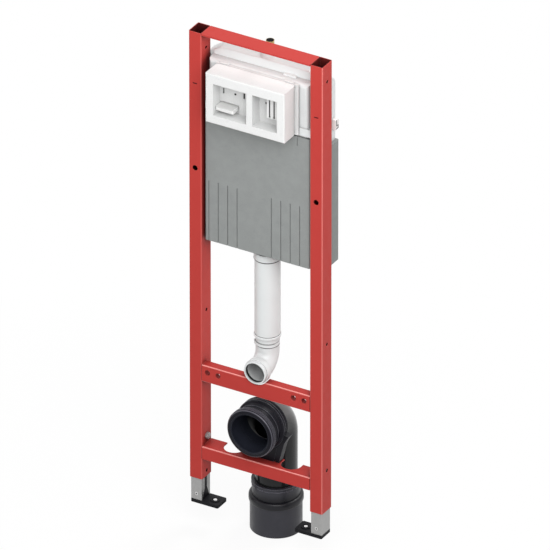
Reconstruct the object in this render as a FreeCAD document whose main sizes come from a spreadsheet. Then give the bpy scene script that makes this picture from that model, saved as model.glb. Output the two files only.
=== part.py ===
import FreeCAD, Part
import math
import operator
import os
from types import SimpleNamespace

import Sketcher
from FreeCAD import Vector

# Mounting frame for a wall hung toilet, in millimetres, +Z up.
# X runs across the frame, Y backwards to the wall, Z up from the floor.
# The origin is on the underside of the left sole, on the left post's axis.

SIZES = {
    # Posts, from centre to centre and from the floor up
    "post_pitch": 287,
    "post_width": 30,
    "post_depth": 40,
    "post_wall": 2,
    "post_corner": 3,
    "post_end": 60,
    "post_length": 1060,
    "top_bar_thick": 4,
    "fixing_hole": 12,
    "fixing_height": 800,
    "side_hole": 8,
    "upper_side_drop": 41,
    "middle_side_height": 458,
    "stop_hole_rise": 13,
    # Crossbar that carries the pan
    "bar_wall": 2.5,
    "bar_fold": 3,
    "pan_bar_height": 40,
    "pan_bar_depth": 20,
    "pan_bolt_hole": 12,
    "pan_bolt_height": 320,
    "pan_bolt_rise": 24,
    "pan_bolt_narrow": 180,
    "pan_bolt_wide": 230,
    "bolt_collar_wall": 2.5,
    "bolt_collar_depth": 10,
    "notch_clearance": 1.5,
    # Crossbar that carries the drain
    "drain_bar_drop": 110,
    "drain_bar_height": 30,
    "bay_width": 44.5,
    "bay_depth": 31.7,
    "bay_offset": 68.2,
    # Telescopic feet
    "foot_clearance": 0.5,
    "foot_wall": 2.5,
    "foot_slot": 10,
    "foot_length": 306,
    "sole_thick": 7,
    "sole_width": 38,
    "sole_heel": 13,
    "sole_toe": 52,
    "sole_corner": 3,
    "sole_hole": 9,
    "sole_hole_reach": 35,
    "sole_hole_stretch": 4,
    "sole_boss": 20,
    "sole_boss_thick": 1.5,
    "flare_width": 29,
    "flare_top": 31,
    "stem_top": 75,
    "lock_rise": 17,
    "lock_thread": 8,
    "lock_across": 13,
    "lock_head": 5.5,
    # Gaps: between curved faces, and round a screw
    "fit": 0.3,
    "screw_gap": 0.4,
    # Insulating jacket round the cistern's lower part
    "jacket_width": 249,
    "jacket_front": 13,
    "jacket_height": 305,
    "jacket_wall": 8,
    "jacket_back_margin": 7.5,
    "jacket_back_reach": 3,
    "jacket_back_drop": 11,
    "jacket_back_step": 33,
    "jacket_corner": 4,
    "groove_width": 1.8,
    "groove_depth": 1.2,
    "groove_length": 142,
    "groove_pitch": 22.4,
    "groove_left": -115,
    "groove_right": 33.5,
    "slit_start": 94,
    "slit_width": 1.5,
    "slit_length": 21,
    # Cistern of white plastic, with its lid
    "tank_step": 5.5,
    "tank_front": 8,
    "tank_wall": 3,
    "tank_drop": 60,
    "tank_show": 122,
    "tank_back_width": 275,
    "tank_back": 69,
    "tank_corner": 9,
    "ear_start": 98,
    "ear_front": 10,
    "ear_depth": 20,
    "ear_rise": 3,
    "ear_height": 18,
    "lid_drop": 30,
    "lid_rise": 20,
    "lid_end": 27,
    "lid_crown": 206,
    "lid_step": 1,
    "lid_front": 16,
    "lid_wall": 8,
    "lid_corner": 3,
    "lid_back_corner": 20,
    "latch_start": 49.5,
    "latch_width": 29,
    "latch_reach": 8,
    "latch_height": 3.5,
    "clip_reach": 9,
    "clip_depth": 12,
    "clip_setback": 1.5,
    "clip_rise": 28,
    "clip_height": 24,
    # Protective box round the service opening
    "flange_width": 195,
    "flange_rise": 4,
    "flange_height": 118,
    "flange_thick": 8,
    "flange_gap": 2,
    "flange_inset": 7,
    "flange_clip_offset": 76,
    "flange_clip_width": 21,
    "flange_clip_rise": 3,
    "box_width": 186.6,
    "box_depth": 48,
    "box_rise": 7.5,
    "box_height": 115,
    "box_corner": 2.5,
    "box_back_corner": 10,
    "window_rise": 19.5,
    "window_height": 73.5,
    "window_depth": 30,
    "window_left_start": -75.2,
    "window_left_width": 78.7,
    "window_right_start": 17.5,
    "window_right_width": 58,
    "slot_rise": 39.5,
    "slot_length": 13,
    "slot_depth": 7,
    "thin_slot_start": -68.4,
    "thin_slot_width": 2.8,
    "wide_slot_start": -20.6,
    "wide_slot_width": 4,
    "eye_offset": -39.6,
    "eye_rise": 44.7,
    "eye_radius": 2.5,
    "peg_slot_start": 31.5,
    "peg_slot_width": 3,
    "peg_slot_rise": 42,
    "peg_slot_length": 5.5,
    "lever_start": -74.5,
    "lever_width": 41,
    "lever_reach": 21,
    "lever_rise": 7.8,
    "lever_thick": 10,
    "lever_recess": 4,
    "lever_margin": 3,
    "block_start": 42.7,
    "block_width": 24.3,
    "block_reach": 14,
    "block_rise": 20.5,
    "block_height": 46.5,
    "block_back": 4,
    "block_slot": 3,
    "block_slot_pitch": 10.7,
    "block_slot_height": 43.5,
    "block_slot_foot": 2.4,
    # Water inlet on the lid
    "inlet_back": 40.3,
    "inlet_radius": 8.8,
    "inlet_bore": 7,
    "inlet_height": 32,
    "inlet_nut_across": 24,
    "inlet_nut_thick": 8,
    "cap_radius": 8.2,
    "cap_thick": 1,
    "cap_plug": 8,
    # Flush pipe, bend and seals
    "flush_back": 29.5,
    "flush_radius": 27.25,
    "flush_wall": 2,
    "flush_leg": 73,
    "flush_bead": 1.3,
    "flush_bead_height": 4,
    "outlet_seal_thick": 2.5,
    "outlet_seal_radius": 27.9,
    "outlet_radius": 29,
    "outlet_length": 15.5,
    "bend_radius": 34,
    "bend_tube_wall": 3,
    "bend_insert": 45,
    "band_drop": 24,
    "band_height": 5.5,
    "band_raise": 3,
    "band_chord": 11.2,
    "flush_rise": 35,
    "flush_mouth": 24,
    "collar_radius": 26,
    "collar_lip": 7,
    "collar_edge": 1.2,
    "chamber_radius": 28,
    "flush_seal_bore": 22.3,
    "flush_seal_wall": 1.8,
    "flush_seal_depth": 6,
    "flush_seal_recess": 3.6,
    # Drain connector, bend, holder and adapter
    "drain_drop": 100,
    "drain_radius": 45,
    "drain_wall": 3,
    "drain_leg_back": 65,
    "drain_bend_radius": 48,
    "drain_insert": 25,
    "leg_gap": 1.5,
    "mouth_front": 46.5,
    "mouth_radius": 55,
    "mouth_rim": 16.5,
    "mouth_round": 7,
    "mouth_edge": 1,
    "neck_radius": 50,
    "neck_ridge": 1.5,
    "ring_radius": 56,
    "ring_groove": 1.8,
    "ring_front": 0,
    "ring_back": 18.5,
    "holder_width": 64,
    "holder_spread": 7,
    "holder_depth": 16,
    "holder_cover": 11,
    "adapter_low": -55,
    "adapter_radius": 55,
    "adapter_wall": 3,
    "adapter_shoulder": 20,
    "adapter_lip": 4,
    "adapter_collar_low": 17,
    "adapter_collar_top": 33,
    "adapter_collar_radius": 57.5,
    "adapter_collar_round": 6,
    "adapter_collar_under": 2,
    "adapter_socket_top": 60,
    "adapter_socket_radius": 51,
    "adapter_ridge": 1,
    "adapter_ridge_height": 2,
    "adapter_ridge_pitch": 7,
}

OPERATIONS = {"+": operator.add, "-": operator.sub, "*": operator.mul, "/": operator.truediv}


class Size:
    """A length that knows its number and the formula that the document keeps for it."""

    def __init__(self, value, formula):
        self.value = value
        self.formula = formula

    def __add__(self, other):
        return combine(self, "+", other)

    def __radd__(self, other):
        return combine(other, "+", self)

    def __sub__(self, other):
        return combine(self, "-", other)

    def __rsub__(self, other):
        return combine(other, "-", self)

    def __mul__(self, other):
        return combine(self, "*", other)

    def __rmul__(self, other):
        return combine(other, "*", self)

    def __truediv__(self, other):
        return combine(self, "/", other)

    def __neg__(self):
        return combine(0, "-", self)


def sized(number):
    """A bare number as a Size, so that both can be used in one sum."""
    return number if isinstance(number, Size) else Size(float(number), repr(number))


def combine(first, sign, second):
    first, second = sized(first), sized(second)
    value = OPERATIONS[sign](first.value, second.value)
    return Size(value, f"({first.formula} {sign} {second.formula})")


def bind(item, name, length):
    """Tie one property of an object to the sheet."""
    item.setExpression(name, sized(length).formula)


document = FreeCAD.newDocument("toilet_frame")
sheet = document.addObject("Spreadsheet::Sheet", "sizes")
for row, (name, number) in enumerate(SIZES.items(), start=1):
    sheet.set(f"A{row}", name)
    sheet.set(f"B{row}", str(number))
    sheet.setAlias(f"B{row}", name)
document.recompute()
size = SimpleNamespace(**{name: Size(float(number), f"sizes.{name}") for name, number in SIZES.items()})

# Places that several pieces share
mid = size.post_pitch / 2
post_top = size.post_end + size.post_length
post_front = -size.post_depth / 2
post_back = size.post_depth / 2
pan_bar_low = size.pan_bolt_height - size.pan_bolt_rise
flush_height = size.pan_bolt_height + size.flush_rise
flush_low = flush_height + size.flush_leg
drain_height = size.pan_bolt_height - size.drain_drop
drain_bar_low = drain_height - size.drain_bar_drop
drain_bar_top = drain_bar_low + size.drain_bar_height
lock_height = drain_bar_top + size.lock_rise
tank_top = post_top - size.tank_drop
lid_low = tank_top - size.lid_drop
lid_top = tank_top + size.lid_rise
jacket_top = tank_top - size.tank_show
jacket_low = jacket_top - size.jacket_height
jacket_back_low = jacket_low - size.jacket_back_drop
jacket_back_top = jacket_top - size.jacket_back_step
jacket_half = size.jacket_width / 2
jacket_back_half = size.tank_back_width / 2 + size.jacket_back_margin
jacket_back = size.tank_back + size.jacket_back_reach
tank_half = jacket_half - size.tank_step
outlet_low = jacket_back_low - size.outlet_length
flush_top = outlet_low - size.outlet_seal_thick
flange_low = jacket_top + size.flange_rise
flange_front = -(size.tank_front + size.flange_thick)
box_low = jacket_top + size.box_rise
box_front = flange_front - size.box_depth
window_low = box_low + size.window_rise
window_back = box_front + size.window_depth
lever_low = window_low + size.lever_rise
bay_start = size.post_width / 2
bay_span = size.post_pitch - size.post_width
foot_width = size.post_width - 2 * size.post_wall - 2 * size.foot_clearance
foot_depth = size.post_depth - 2 * size.post_wall - 2 * size.foot_clearance
flush_bore = size.flush_radius - size.flush_wall
bend_tube = flush_bore - size.fit

pieces = []
SIDE_OF_PLANE = {"XY": 1, "XZ": -1, "YZ": 1}


def pin(drawing, geometry, spot, place):
    """Fix one point of a sketch at a distance from the sketch's origin."""
    for kind, distance in zip(("DistanceX", "DistanceY"), place):
        distance = sized(distance)
        rule = Sketcher.Constraint(kind, -1, 1, geometry, spot, distance.value)
        index = drawing.addConstraint(rule)
        drawing.setExpression(f"Constraints[{index}]", distance.formula)


def polygon(*corners):
    def draw(drawing):
        places = [Vector(sized(u).value, sized(v).value, 0) for u, v in corners]
        ends = places[1:] + places[:1]
        lines = [drawing.addGeometry(Part.LineSegment(a, b), False) for a, b in zip(places, ends)]
        for line, follower in zip(lines, lines[1:] + lines[:1]):
            drawing.addConstraint(Sketcher.Constraint("Coincident", line, 2, follower, 1))
        for line, corner in zip(lines, corners):
            pin(drawing, line, 1, corner)
    return draw


def rectangle(left, low, right, high):
    return polygon((left, low), (right, low), (right, high), (left, high))


def hexagon(u, v, across):
    """A nut's outline, by its size across the flats."""
    turns = [math.radians(60 * index) for index in range(6)]
    reach = across / math.sqrt(3)
    return polygon(*[(u + reach * math.cos(turn), v + reach * math.sin(turn)) for turn in turns])


def disc(u, v, radius):
    def draw(drawing):
        centre = Vector(sized(u).value, sized(v).value, 0)
        circle = Part.Circle(centre, Vector(0, 0, 1), sized(radius).value)
        geometry = drawing.addGeometry(circle, False)
        pin(drawing, geometry, 3, (u, v))
        index = drawing.addConstraint(Sketcher.Constraint("Radius", geometry, sized(radius).value))
        drawing.setExpression(f"Constraints[{index}]", sized(radius).formula)
    return draw


class Piece:
    """One sub-part, drawn as a body of sketches, pads, pockets, revolutions and fillets."""

    def __init__(self, name, x=0, y=0, z=0):
        self.body = document.addObject("PartDesign::Body", name)
        self.body.Label = name
        for axis, place in zip("xyz", (x, y, z)):
            bind(self.body, f"Placement.Base.{axis}", place)
        pieces.append(self.body)

    def sketch(self, plane, start, loops):
        drawing = self.body.newObject("Sketcher::SketchObject", "outline")
        planes = [item for item in self.body.Origin.OriginFeatures if item.Role == f"{plane}_Plane"]
        drawing.AttachmentSupport = [(planes[0], "")]
        drawing.MapMode = "FlatFace"
        bind(drawing, "AttachmentOffset.Base.z", SIDE_OF_PLANE[plane] * sized(start))
        for draw in loops:
            draw(drawing)
        return drawing

    def volume(self):
        document.recompute()
        return self.body.Shape.Volume

    def pad(self, plane, start, length, *loops):
        """Add what the loops enclose, from start onwards along the plane's axis."""
        drawing = self.sketch(plane, start, loops)
        feature = self.body.newObject("PartDesign::Pad", "pad")
        feature.Profile = drawing
        feature.Reversed = SIDE_OF_PLANE[plane] < 0
        bind(feature, "Length", length)
        document.recompute()

    def pocket(self, plane, start, length, *loops):
        """Cut what the loops enclose, from start onwards along the plane's axis."""
        before = self.volume()
        drawing = self.sketch(plane, start, loops)
        feature = self.body.newObject("PartDesign::Pocket", "pocket")
        feature.Profile = drawing
        feature.Reversed = SIDE_OF_PLANE[plane] > 0
        bind(feature, "Length", length)
        if not self.volume() < before:
            raise ValueError(f"{self.body.Label}: a pocket cuts nothing")

    def revolve(self, plane, axis, *loops, angle=360, backwards=False):
        """Turn the loops about the sketch's H_Axis or V_Axis."""
        drawing = self.sketch(plane, 0, loops)
        feature = self.body.newObject("PartDesign::Revolution", "revolution")
        feature.Profile = drawing
        feature.ReferenceAxis = (drawing, [axis])
        feature.Angle = angle
        feature.Reversed = backwards
        document.recompute()

    def fillet(self, radius, chosen):
        document.recompute()
        base = self.body.Tip
        names = [f"Edge{number}" for number, edge in enumerate(base.Shape.Edges, start=1) if chosen(edge)]
        feature = self.body.newObject("PartDesign::Fillet", "fillet")
        feature.Base = (base, names)
        bind(feature, "Radius", radius)
        document.recompute()

    def round_edges(self, radius, wanted):
        """Fillet the straight edges whose middle point and direction the test accepts."""
        def chosen(edge):
            first, last = edge.Vertexes[0].Point, edge.Vertexes[-1].Point
            straight = edge.Curve.TypeId == "Part::GeomLine"
            return straight and wanted((first + last) / 2, (last - first).normalize())
        self.fillet(radius, chosen)

    def round_rims(self, radius, rim, axis, *places):
        """Fillet the circles of one radius whose centres lie at the given places along an axis."""
        def chosen(edge):
            return (edge.Curve.TypeId == "Part::GeomCircle" and near(edge.Curve.Radius, rim)
                    and any(near(getattr(edge.Curve.Center, axis), place) for place in places))
        self.fillet(radius, chosen)


def near(first, second):
    """Whether a coordinate of the model lies at a named place."""
    return abs(first - sized(second).value) < 0.01


def above(first, second):
    return first > sized(second).value + 0.01


def upright(along):
    return abs(along.z) > 0.99


def level(along):
    """Whether an edge runs across the frame."""
    return abs(along.x) > 0.99


def post(name, axis, inward):
    """Rectangular tube, open at both ends, with its fixing holes. inward is +1 or -1 along X."""
    half, deep, wall = size.post_width / 2, size.post_depth / 2, size.post_wall
    piece = Piece(name, x=axis)
    outside = rectangle(-half, -deep, half, deep)
    inside = rectangle(wall - half, wall - deep, half - wall, deep - wall)
    piece.pad("XY", size.post_end, size.post_length, outside, inside)
    piece.round_edges(size.post_corner, lambda middle, along: upright(along) and near(abs(middle.x), half))
    piece.round_edges(
        size.post_corner - wall,
        lambda middle, along: upright(along) and near(abs(middle.x), half - wall)
        and near(abs(middle.y), deep - wall))
    piece.pocket("XZ", -deep, 2 * wall, disc(0, size.fixing_height, size.fixing_hole / 2))
    through = [disc(0, height, size.side_hole / 2)
               for height in (post_top - size.upper_side_drop, size.middle_side_height)]
    piece.pocket("YZ", -half, size.post_width, *through)
    piece.pocket("YZ", -inward * half - wall, 2 * wall, disc(0, lock_height, size.side_hole / 2))
    piece.pocket("YZ", inward * half - wall, 2 * wall,
                 disc(0, size.post_end + size.stop_hole_rise, size.side_hole / 2),
                 disc(0, lock_height, size.lock_thread / 2 + size.screw_gap))


def top_bar():
    """Flat strip that joins the posts' upper ends."""
    piece = Piece("top_bar")
    piece.pad("XY", post_top - size.top_bar_thick, size.top_bar_thick,
              rectangle(bay_start, post_front, bay_start + bay_span, post_back))


def pan_bar():
    """Folded channel with collared holes for the pan's bolts and the notch for the flush bend."""
    low, high = pan_bar_low, pan_bar_low + size.pan_bar_height
    back, wall = post_front + size.pan_bar_depth, size.bar_wall
    piece = Piece("pan_bar")
    piece.pad("YZ", bay_start, bay_span, polygon(
        (post_front, low), (back, low), (back, low + wall), (post_front + wall, low + wall),
        (post_front + wall, high - wall), (back, high - wall), (back, high), (post_front, high)))
    piece.round_edges(size.bar_fold, lambda middle, along: level(along) and near(middle.y, post_front))
    hole = size.pan_bolt_hole / 2
    places = [mid + side * spacing / 2
              for side in (-1, 1) for spacing in (size.pan_bolt_narrow, size.pan_bolt_wide)]
    collars = [disc(place, size.pan_bolt_height, hole + size.bolt_collar_wall) for place in places]
    holes = [disc(place, size.pan_bolt_height, hole) for place in places]
    piece.pad("XZ", post_front + wall, size.bolt_collar_depth, *collars)
    piece.pocket("XZ", post_front, wall + size.bolt_collar_depth, *holes)
    piece.pocket("XZ", post_front, size.pan_bar_depth,
                 disc(mid, flush_height, size.chamber_radius + size.notch_clearance))


def drain_bar():
    """Folded angle: its shelf has two round-ended bays beside the tongue for the drain's holder."""
    low, high, wall = drain_bar_low, drain_bar_top, size.bar_wall
    piece = Piece("drain_bar")
    piece.pad("YZ", bay_start, bay_span, polygon(
        (post_front, low), (post_front + wall, low), (post_front + wall, high - wall),
        (post_back, high - wall), (post_back, high), (post_front, high)))
    piece.round_edges(size.bar_fold, lambda middle, along: level(along) and near(middle.y, post_front)
                      and near(middle.z, high))
    half = size.bay_width / 2
    round_at = post_back - size.bay_depth + half
    for side in (-1, 1):
        centre = mid + side * size.bay_offset
        piece.pocket("XY", high - wall, wall, disc(centre, round_at, half))
        piece.pocket("XY", high - wall, wall, rectangle(centre - half, round_at, centre + half, post_back))
    piece.pocket("XY", high - wall, wall,
                 disc(mid, size.drain_leg_back, size.drain_radius + size.leg_gap))


def foot_channel(name, axis, inward):
    """C-shaped steel channel that slides in the post, its slot towards the other foot."""
    half, deep, wall, slot = foot_width / 2, foot_depth / 2, size.foot_wall, size.foot_slot / 2
    outline = [(-half, -deep), (half, -deep), (half, -slot), (half - wall, -slot),
               (half - wall, wall - deep), (wall - half, wall - deep), (wall - half, deep - wall),
               (half - wall, deep - wall), (half - wall, slot), (half, slot), (half, deep), (-half, deep)]
    piece = Piece(name, x=axis)
    piece.pad("XY", size.sole_thick, size.foot_length, polygon(*[(inward * u, v) for u, v in outline]))
    flare = size.flare_width / 2
    piece.pocket("YZ", inward * half - wall, 2 * wall, polygon(
        (-flare, size.sole_thick), (flare, size.sole_thick),
        (slot, size.flare_top), (-slot, size.flare_top)))


def foot_sole(name, axis, inward):
    """Plastic sole with its bolt slot, the flare between the channel's lips and the stem in its slot."""
    half, deep, wall, gap = foot_width / 2, foot_depth / 2, size.foot_wall, size.fit
    slot, flare = size.foot_slot / 2 - gap, size.flare_width / 2 - gap
    wide = size.sole_width / 2
    piece = Piece(name, x=axis)
    piece.pad("XY", 0, size.sole_thick,
              rectangle(-inward * size.sole_heel, -wide, inward * size.sole_toe, wide))
    piece.round_edges(size.sole_corner, lambda middle, along: upright(along))
    inside = half - wall - gap
    piece.pad("XY", size.sole_thick, size.flare_top - size.sole_thick,
              rectangle(-inward * inside, wall + gap - deep, inward * inside, deep - wall - gap))
    leaf = wall + gap
    piece.pad("YZ", inward * (half - leaf / 2) - leaf / 2, leaf, polygon(
        (-flare, size.sole_thick), (flare, size.sole_thick),
        (slot, size.flare_top), (-slot, size.flare_top)))
    piece.pad("XY", size.sole_thick, size.stem_top - size.sole_thick,
              rectangle(inward * (inside - 2 * wall), -slot, inward * half, slot))
    reach, stretch = inward * size.sole_hole_reach, size.sole_hole_stretch / 2
    piece.pad("XY", size.sole_thick, size.sole_boss_thick, disc(reach, 0, size.sole_boss / 2))
    height = size.sole_thick + size.sole_boss_thick
    radius = size.sole_hole / 2
    for end in (-1, 1):
        piece.pocket("XY", 0, height, disc(reach + end * stretch, 0, radius))
    piece.pocket("XY", 0, height, rectangle(reach - stretch, -radius, reach + stretch, radius))


def lock_screw(name, axis, inward):
    """Hexagon screw through the post's inner wall, whose tip clamps the channel's web."""
    face = size.post_width / 2
    web = foot_width / 2 - size.foot_wall
    piece = Piece(name, x=axis, z=lock_height)
    head = size.lock_head
    piece.pad("YZ", inward * (face + head / 2) - head / 2, head, hexagon(0, 0, size.lock_across))
    shank = face + web - size.fit
    piece.pad("YZ", inward * (face - shank / 2) - shank / 2, shank, disc(0, 0, size.lock_thread / 2))


def cistern_jacket():
    """Grey insulating shell: a front part between the posts and a wider part behind them."""
    half, back_half, wall = jacket_half, jacket_back_half, size.jacket_wall
    front = -size.jacket_front
    piece = Piece("cistern_jacket", x=mid)
    piece.pad("XZ", post_back, jacket_back - post_back,
              rectangle(-back_half, jacket_back_low, back_half, jacket_back_top))
    piece.pad("XZ", front, post_back - front, rectangle(-half, jacket_low, half, jacket_top))
    piece.round_edges(size.jacket_corner, lambda middle, along: upright(along)
                      and (near(middle.y, front) or near(middle.y, jacket_back)))
    floor = jacket_low + wall
    piece.pocket("XY", floor, jacket_top - floor,
                 rectangle(wall - half, wall + front, half - wall, post_back + wall))
    back_floor = jacket_back_low + wall
    piece.pocket("XY", back_floor, jacket_back_top - back_floor,
                 rectangle(wall - back_half, post_back + wall, back_half - wall, jacket_back - wall))
    piece.pocket("XY", jacket_back_low, 3 * wall, disc(0, size.flush_back, flush_bore))
    cuts = [rectangle(size.slit_start, jacket_top - size.slit_length,
                      size.slit_start + size.slit_width, jacket_top)]
    groove_top = jacket_low + size.groove_length
    for first in (size.groove_left, size.groove_right):
        for count in range(4):
            left = first + count * size.groove_pitch - size.groove_width / 2
            cuts.append(rectangle(left, jacket_low, left + size.groove_width, groove_top))
    piece.pocket("XZ", front, size.groove_depth, *cuts)


def cistern_tank():
    """White tank: its lower part stands in the jacket, its upper part shows, open under the lid."""
    wall = size.tank_wall
    cover = size.jacket_wall + size.fit
    low_half, low_back_half = jacket_half - cover, jacket_back_half - cover
    low_front, low_back = cover - size.jacket_front, jacket_back - cover
    low, back_low = jacket_low + size.jacket_wall, jacket_back_low + size.jacket_wall
    half, back_half, front = tank_half, size.tank_back_width / 2, -size.tank_front
    inner_back = post_back + cover
    piece = Piece("cistern_tank", x=mid)
    piece.pad("XZ", inner_back, low_back - inner_back,
              rectangle(-low_back_half, back_low, low_back_half, jacket_back_top))
    piece.pad("XZ", low_front, inner_back - low_front, rectangle(-low_half, low, low_half, jacket_top))
    piece.pad("XZ", front, post_back - front, rectangle(-half, jacket_top, half, tank_top))
    piece.pad("XZ", post_back, size.tank_back - post_back,
              rectangle(-back_half, jacket_back_top, back_half, lid_low))
    piece.round_edges(size.tank_corner, lambda middle, along: near(middle.y, front)
                      and not near(middle.z, jacket_top))
    ear = jacket_half - size.ear_start
    for side in (-1, 1):
        left = side * (size.ear_start + ear / 2) - ear / 2
        piece.pad("XZ", -size.ear_front, size.ear_depth, rectangle(
            left, jacket_top + size.ear_rise, left + ear, jacket_top + size.ear_rise + size.ear_height))
    piece.pocket("XZ", wall + low_front, inner_back - low_front,
                 rectangle(wall - low_half, low + wall, low_half - wall, lid_low))
    piece.pocket("XZ", wall + front, post_back - front - 2 * wall,
                 rectangle(wall - low_half, jacket_top, low_half - wall, tank_top - wall))
    floor = back_low + wall
    piece.pocket("XY", floor, lid_low - floor, rectangle(
        wall - low_back_half, inner_back + wall, low_back_half - wall, low_back - wall))


def cistern_lid():
    """Lid with sloped shoulders behind the posts, a narrower part between them and a latch in front."""
    back_half, half, crown = size.tank_back_width / 2, tank_half - size.lid_step, size.lid_crown / 2
    wall, behind, end_top = size.lid_wall, post_back + size.fit, lid_low + size.lid_end
    side_top = lid_top - (lid_top - end_top) * (half - crown) / (back_half - crown)
    piece = Piece("cistern_lid", x=mid)
    piece.pad("XZ", behind, size.tank_back - behind, polygon(
        (-back_half, lid_low), (back_half, lid_low), (back_half, end_top),
        (crown, lid_top), (-crown, lid_top), (-back_half, end_top)))
    piece.round_edges(size.lid_back_corner, lambda middle, along: near(middle.y, size.tank_back)
                      and above(middle.z, end_top))
    piece.pad("XZ", size.lid_front, behind - size.lid_front, polygon(
        (-half, tank_top), (half, tank_top), (half, side_top),
        (crown, lid_top), (-crown, lid_top), (-half, side_top)))
    piece.round_edges(size.lid_corner, lambda middle, along: near(middle.y, size.lid_front)
                      and above(middle.z, side_top))
    inner, inner_crown = back_half - wall, crown - wall
    piece.pocket("XZ", behind + wall, size.tank_back - behind - 2 * wall, polygon(
        (-inner, lid_low), (inner, lid_low), (inner, end_top - wall),
        (inner_crown, lid_top - wall), (-inner_crown, lid_top - wall), (-inner, end_top - wall)))
    piece.pad("XZ", size.lid_front - size.latch_reach, size.latch_reach, rectangle(
        size.latch_start, tank_top, size.latch_start + size.latch_width, tank_top + size.latch_height))


def tank_clip(name, side):
    """Clip that holds the jacket to the tank's side."""
    start = side * (size.tank_back_width + size.clip_reach) / 2 - size.clip_reach / 2
    behind = size.tank_back - size.clip_setback
    piece = Piece(name, x=mid)
    piece.pad("XY", jacket_back_top + size.clip_rise, size.clip_height,
              rectangle(start, behind - size.clip_depth, start + size.clip_reach, behind))
    piece.round_edges(size.clip_reach / 4, lambda middle, along: not upright(along)
                      and near(abs(middle.x), size.tank_back_width / 2 + size.clip_reach))


def service_flange():
    """Thin rim between the box and the tank's front, set off by a neck, with two clips on top."""
    half, gap, inset = size.flange_width / 2, size.flange_gap, size.flange_inset
    top = flange_low + size.flange_height
    piece = Piece("service_flange", x=mid)
    piece.pad("XZ", flange_front, size.flange_thick,
              rectangle(inset - half, flange_low + inset, half - inset, top - inset))
    piece.pad("XZ", flange_front + gap, size.flange_thick - 2 * gap,
              rectangle(-half, flange_low, half, top))
    for side in (-1, 1):
        start = side * size.flange_clip_offset - size.flange_clip_width / 2
        piece.pad("XZ", flange_front + gap / 2, size.flange_thick - 2 * gap, rectangle(
            start, top - size.flange_clip_rise, start + size.flange_clip_width, top + size.flange_clip_rise))


def service_box():
    """Block with two deep windows, and the openings in their back walls."""
    half = size.box_width / 2
    piece = Piece("service_box", x=mid)
    piece.pad("XZ", box_front, size.box_depth, rectangle(-half, box_low, half, box_low + size.box_height))
    piece.round_edges(size.box_back_corner,
                      lambda middle, along: upright(along) and near(middle.y, flange_front))
    piece.round_edges(size.box_corner, lambda middle, along: near(middle.y, box_front))
    top = window_low + size.window_height
    windows = [rectangle(start, window_low, start + width, top) for start, width in (
        (size.window_left_start, size.window_left_width),
        (size.window_right_start, size.window_right_width))]
    piece.pocket("XZ", box_front, size.window_depth, *windows)
    piece.pocket("XZ", window_back, size.lever_recess, rectangle(
        size.window_left_start, window_low, size.lever_start + size.lever_width + size.lever_margin,
        lever_low + size.lever_thick + size.lever_margin))
    slots = [rectangle(start, window_low + rise, start + width, window_low + rise + length)
             for start, width, rise, length in (
                 (size.thin_slot_start, size.thin_slot_width, size.slot_rise, size.slot_length),
                 (size.wide_slot_start, size.wide_slot_width, size.slot_rise, size.slot_length),
                 (size.peg_slot_start, size.peg_slot_width, size.peg_slot_rise, size.peg_slot_length))]
    piece.pocket("XZ", window_back, size.slot_depth,
                 disc(size.eye_offset, window_low + size.eye_rise, size.eye_radius), *slots)


def push_lever():
    """Push pad held in a recess of the left window's back wall."""
    front, behind = window_back - size.lever_reach, window_back + size.lever_recess
    piece = Piece("push_lever", x=mid)
    piece.pad("XY", lever_low, size.lever_thick,
              rectangle(size.lever_start, front, size.lever_start + size.lever_width, behind))
    piece.round_edges(size.lever_thick / 4, lambda middle, along: near(middle.y, front))


def valve_block():
    """Raised block in the right window, with two upright slots that widen at the foot."""
    front, low = window_back - size.block_reach, window_low + size.block_rise
    piece = Piece("valve_block", x=mid)
    piece.pad("XZ", front, size.block_reach, rectangle(
        size.block_start, low, size.block_start + size.block_width, low + size.block_height))
    centre = size.block_start + size.block_width / 2
    slot_low = low + (size.block_height - size.block_slot_height) / 2
    depth = size.block_reach - size.block_back
    slots, feet = [], []
    for side in (-1, 1):
        place = centre + side * size.block_slot_pitch / 2
        slots.append(rectangle(place - size.block_slot / 2, slot_low,
                               place + size.block_slot / 2, slot_low + size.block_slot_height))
        feet.append(disc(place, slot_low + size.block_slot_foot, size.block_slot_foot))
    piece.pocket("XZ", front, depth, *slots)
    piece.pocket("XZ", front, depth, *feet)


def inlet():
    """Brass stub with its nut on the lid, and the plug that closes its end."""
    nut = Piece("inlet_nut", x=mid, y=size.inlet_back, z=lid_top)
    nut.pad("XY", 0, size.inlet_nut_thick, hexagon(0, 0, size.inlet_nut_across),
            disc(0, 0, size.inlet_radius + size.fit))
    stub = Piece("inlet_stub", x=mid, y=size.inlet_back, z=lid_top)
    stub.pad("XY", 0, size.inlet_height, disc(0, 0, size.inlet_radius), disc(0, 0, size.inlet_bore))
    cap = Piece("inlet_cap", x=mid, y=size.inlet_back, z=lid_top + size.inlet_height)
    cap.pad("XY", 0, size.cap_thick, disc(0, 0, size.cap_radius))
    cap.pad("XY", -size.cap_plug, size.cap_plug, disc(0, 0, size.inlet_bore - size.fit))


def flush_line():
    """Outlet socket under the cistern, its seal and the straight flush pipe with its lower bead."""
    outlet = Piece("outlet_socket", x=mid, y=size.flush_back)
    outlet.pad("XY", outlet_low, size.outlet_length,
               disc(0, 0, size.outlet_radius), disc(0, 0, flush_bore))
    seal = Piece("outlet_seal", x=mid, y=size.flush_back)
    seal.pad("XY", flush_top, size.outlet_seal_thick,
             disc(0, 0, size.outlet_seal_radius), disc(0, 0, flush_bore))
    pipe = Piece("flush_pipe", x=mid, y=size.flush_back)
    outside = size.flush_radius
    bead = outside + size.flush_bead
    bead_top = flush_low + size.flush_bead_height
    pipe.revolve("XZ", "V_Axis", polygon(
        (flush_bore, flush_low), (bead, flush_low), (bead, bead_top), (outside, bead_top + size.flush_bead),
        (outside, flush_top), (flush_bore, flush_top)))


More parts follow.
